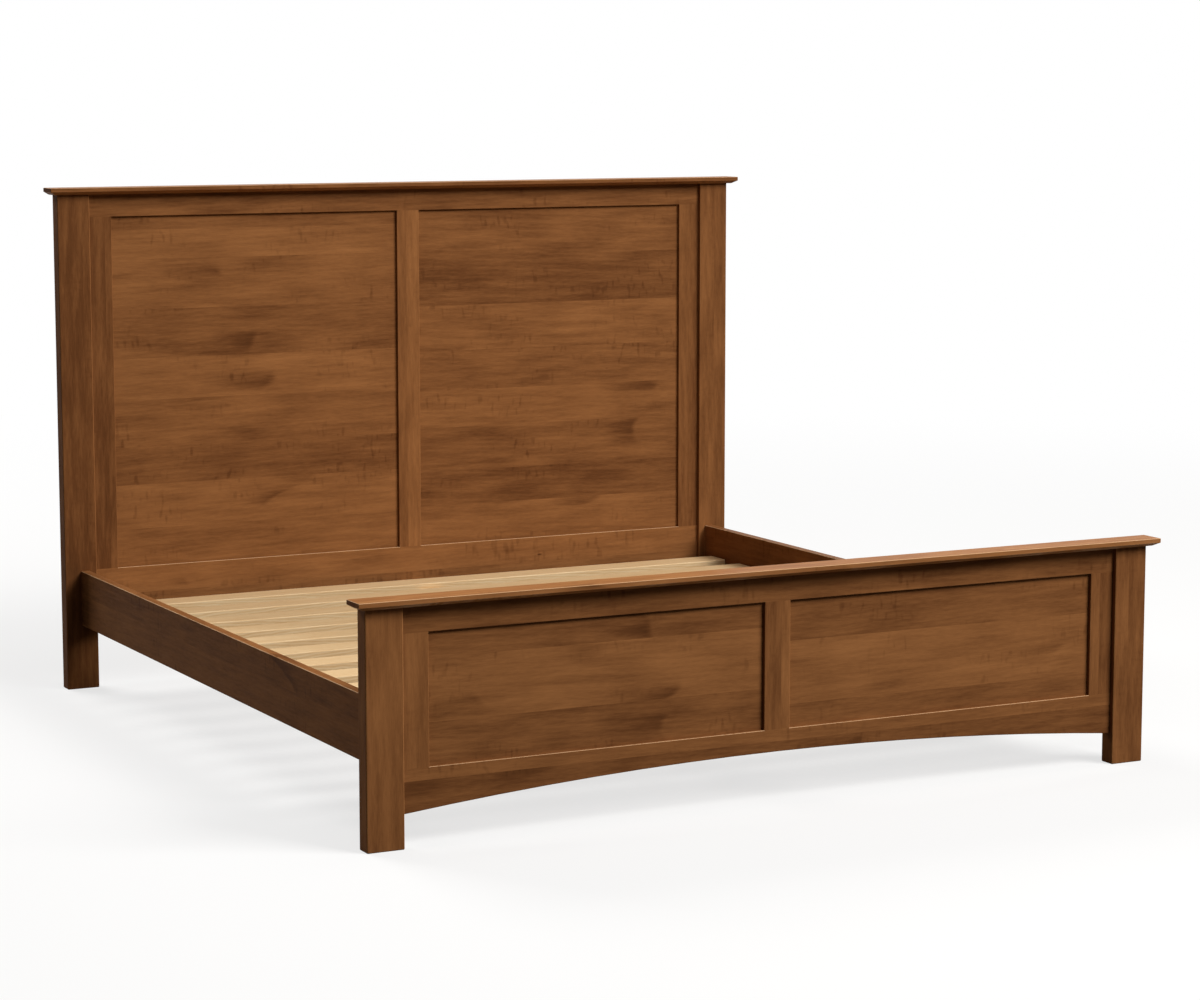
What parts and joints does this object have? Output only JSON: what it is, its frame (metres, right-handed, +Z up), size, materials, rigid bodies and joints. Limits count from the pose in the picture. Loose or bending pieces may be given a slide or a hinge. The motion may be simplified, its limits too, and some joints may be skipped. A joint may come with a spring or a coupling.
{
  "type": "panel bed frame",
  "caption": "Wooden king bed frame with a tall panelled headboard, a low arched panelled footboard, capped posts, side rails and a slatted base on screw feet.",
  "frame": {"origin": "on the floor, under the middle of the whole bed's box", "axes": "+X across the bed to the right as seen from its foot, +Y from the foot to the head, +Z up"},
  "size_m": [2.13, 2.169, 1.381],
  "materials": {
    "stained_wood": "satin clear lacquer over brown stain",
    "plain_wood": "planed, unfinished",
    "black_steel": "black powder coat",
    "zinc_steel": "zinc plated",
    "brass": "turned",
    "nylon": "moulded black"
  },
  "bodies": {
    "bed": {"angle_screws": "zinc_steel", "cap_dowels": "plain_wood", "centre_beam": "plain_wood", "centre_leg_1": "plain_wood", "centre_leg_2": "plain_wood", "centre_leg_3": "plain_wood", "cleat_left": "plain_wood", "cleat_right": "plain_wood", "cleat_screws": "zinc_steel", "connector_screws": "zinc_steel", "foot_beam_angle": "black_steel", "foot_bottom_rail": "stained_wood", "foot_cap": "stained_wood", "foot_centre_stile": "stained_wood", "foot_inserts": "brass", "foot_panel_left": "stained_wood", "foot_panel_right": "stained_wood", "foot_post_left": "stained_wood", "foot_post_right": "stained_wood", "foot_stile_left": "stained_wood", "foot_stile_right": "stained_wood", "foot_top_rail": "stained_wood", "head_beam_angle": "black_steel", "head_bottom_rail": "stained_wood", "head_cap": "stained_wood", "head_centre_stile": "stained_wood", "head_panel_left": "stained_wood", "head_panel_right": "stained_wood", "head_post_left": "stained_wood", "head_post_right": "stained_wood", "head_stile_left": "stained_wood", "head_stile_right": "stained_wood", "head_top_rail": "stained_wood", "leg_bolts": "zinc_steel", "post_plates_foot": "black_steel", "post_plates_head": "black_steel", "rail_hooks_foot": "black_steel", "rail_hooks_head": "black_steel", "side_rail_left": "stained_wood", "side_rail_right": "stained_wood", "slat_01": "plain_wood", "slat_02": "plain_wood", "slat_03": "plain_wood", "slat_04": "plain_wood", "slat_05": "plain_wood", "slat_06": "plain_wood", "slat_07": "plain_wood", "slat_08": "plain_wood", "slat_09": "plain_wood", "slat_10": "plain_wood", "slat_11": "plain_wood", "slat_12": "plain_wood", "slat_screws": "zinc_steel"},
    "pad_1": {"foot_pad_1": "nylon"},
    "stem_1": {"foot_stem_1": "zinc_steel"},
    "pad_2": {"foot_pad_2": "nylon"},
    "stem_2": {"foot_stem_2": "zinc_steel"},
    "pad_3": {"foot_pad_3": "nylon"},
    "stem_3": {"foot_stem_3": "zinc_steel"}
  },
  "joints": [
    {"name": "foot_lift_1", "type": "slide", "parent": "bed", "child": "pad_1", "axis": [0, 0, 1], "range_m": [0, 0.016]},
    {"name": "stem_turn_1", "type": "hinge", "parent": "pad_1", "child": "stem_1", "pos_m": [0, -0.506, 0.009], "axis": [0, 0, 1], "range_deg": [0, 3841]},
    {"name": "foot_lift_2", "type": "slide", "parent": "bed", "child": "pad_2", "axis": [0, 0, 1], "range_m": [0, 0.016]},
    {"name": "stem_turn_2", "type": "hinge", "parent": "pad_2", "child": "stem_2", "pos_m": [0, 0.0135, 0.009], "axis": [0, 0, 1], "range_deg": [0, 3841]},
    {"name": "foot_lift_3", "type": "slide", "parent": "bed", "child": "pad_3", "axis": [0, 0, 1], "range_m": [0, 0.016]},
    {"name": "stem_turn_3", "type": "hinge", "parent": "pad_3", "child": "stem_3", "pos_m": [0, 0.533, 0.009], "axis": [0, 0, 1], "range_deg": [0, 3841]}
  ],
  "couplings": [
    {"joint": "stem_turn_1", "follows": "foot_lift_1", "rad_per_m": 4188.8},
    {"joint": "stem_turn_2", "follows": "foot_lift_2", "rad_per_m": 4188.8},
    {"joint": "stem_turn_3", "follows": "foot_lift_3", "rad_per_m": 4188.8}
  ]
}
